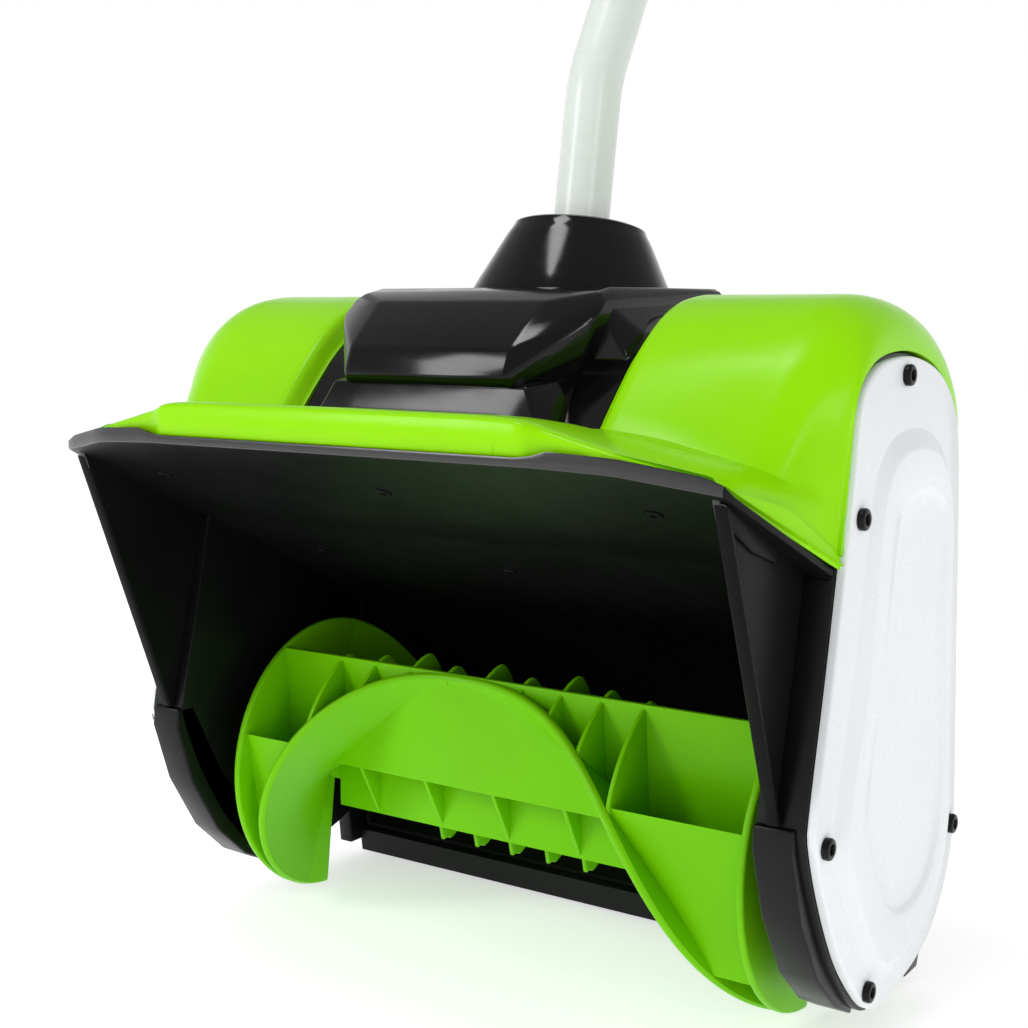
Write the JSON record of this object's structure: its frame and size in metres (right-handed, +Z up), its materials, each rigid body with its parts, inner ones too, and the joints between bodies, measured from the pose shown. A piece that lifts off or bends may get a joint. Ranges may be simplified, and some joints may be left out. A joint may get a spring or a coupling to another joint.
{
  "type": "cordless snow shovel",
  "caption": "Battery snow shovel: a twin-scoop auger in a hooded head with side covers, on a bent pole with a hinged front handle and a trigger grip that carries the battery.",
  "frame": {"origin": "middle of the scraper bar's underside, on the ground", "axes": "+X to the machine's side that is on the right when looking at its mouth, -Y out of the snow mouth, +Y towards the user, +Z up"},
  "size_m": [0.345, 0.6642, 1.1952],
  "materials": {
    "green": "bright green moulded plastic, lightly glossy",
    "black": "black moulded plastic with a soft sheen",
    "black_gloss": "polished black plastic",
    "white": "very pale grey moulded plastic",
    "pole_paint": "pale grey painted aluminium tube",
    "steel": "bare steel",
    "dark_steel": "blackened steel",
    "rubber": "black rubber",
    "foam": "closed-cell foam sleeve",
    "board": "green circuit board"
  },
  "bodies": {
    "machine": {"aux_bolt": "steel", "aux_clamp_front": "black", "aux_clamp_rear": "black", "centre_cover": "black_gloss", "control_board": "board", "coupler": "black", "cover_screw_left_1": "dark_steel", "cover_screw_left_2": "dark_steel", "cover_screw_left_3": "dark_steel", "cover_screw_left_4": "dark_steel", "cover_screw_left_5": "dark_steel", "cover_screw_right_1": "dark_steel", "cover_screw_right_2": "dark_steel", "cover_screw_right_3": "dark_steel", "cover_screw_right_4": "dark_steel", "cover_screw_right_5": "dark_steel", "drive_belt": "rubber", "handle_half_left": "green", "handle_half_right": "green", "head_shell": "black", "lower_tube": "pole_paint", "motor_can": "steel", "motor_end_cap": "black", "motor_mount": "steel", "pole_boot": "black_gloss", "pole_socket": "black", "rear_panel": "black", "scraper_bar": "black", "scraper_screw_1": "dark_steel", "scraper_screw_2": "dark_steel", "scraper_screw_3": "dark_steel", "shaft_bearing_left": "steel", "shaft_bearing_right": "steel", "side_cover_left": "white", "side_cover_right": "white", "side_plate_left": "black", "side_plate_right": "black", "terminal_block": "black", "top_shell": "green", "trigger_switch": "black", "upper_tube": "pole_paint"},
    "auger": {"auger_half_left": "green", "auger_half_right": "green", "auger_shaft": "steel", "auger_pulley": "black"},
    "motor_rotor": {"motor_shaft": "steel", "motor_pulley": "black"},
    "coupler_knob": {"coupler_knob": "black", "coupler_bolt": "steel"},
    "aux_handle": {"aux_handle": "black", "aux_grip": "foam"},
    "aux_knob": {"aux_knob": "black"},
    "trigger": {"trigger": "black"},
    "lock_off_button": {"lock_off_button": "rubber"},
    "battery": {"battery_pack": "black"},
    "battery_latch": {"battery_latch": "green"}
  },
  "joints": [
    {"name": "auger_spin", "type": "hinge", "parent": "machine", "child": "auger", "pos_m": [0, -0.053, 0.069], "axis": [1, 0, 0], "continuous": true},
    {"name": "motor_spin", "type": "hinge", "parent": "machine", "child": "motor_rotor", "pos_m": [0, -0.057, 0.224], "axis": [1, 0, 0], "continuous": true},
    {"name": "coupler_knob_turn", "type": "hinge", "parent": "machine", "child": "coupler_knob", "pos_m": [0.0275, 0.13847, 0.66925], "axis": [1, 0, 0], "range_deg": [0, 360]},
    {"name": "aux_handle_tilt", "type": "hinge", "parent": "machine", "child": "aux_handle", "pos_m": [0, 0.15998, 0.7751], "axis": [1, 0, 0], "range_deg": [-35, 35]},
    {"name": "aux_knob_turn", "type": "hinge", "parent": "machine", "child": "aux_knob", "pos_m": [0.022, 0.15998, 0.7751], "axis": [1, 0, 0], "range_deg": [0, 360]},
    {"name": "trigger_pull", "type": "hinge", "parent": "machine", "child": "trigger", "pos_m": [0, 0.33992, 1.01721], "axis": [-1, 0, 0], "range_deg": [0, 8], "stiffness_Nm_per_rad": 0.6, "springref_deg": -17.19},
    {"name": "lock_off_push", "type": "slide", "parent": "machine", "child": "lock_off_button", "axis": [1, 0, 0], "range_m": [0, 0.005], "stiffness_N_per_m": 400, "springref_m": -0.002},
    {"name": "battery_slide", "type": "slide", "parent": "machine", "child": "battery", "axis": [0, 0.4848, 0.8746], "range_m": [0, 0.058]},
    {"name": "battery_latch_push", "type": "slide", "parent": "battery", "child": "battery_latch", "axis": [0, 0.8746, -0.4848], "range_m": [0, 0.0025], "stiffness_N_per_m": 600, "springref_m": -0.002}
  ],
  "couplings": [
    {"joint": "motor_spin", "follows": "auger_spin", "ratio": 3.5294}
  ]
}
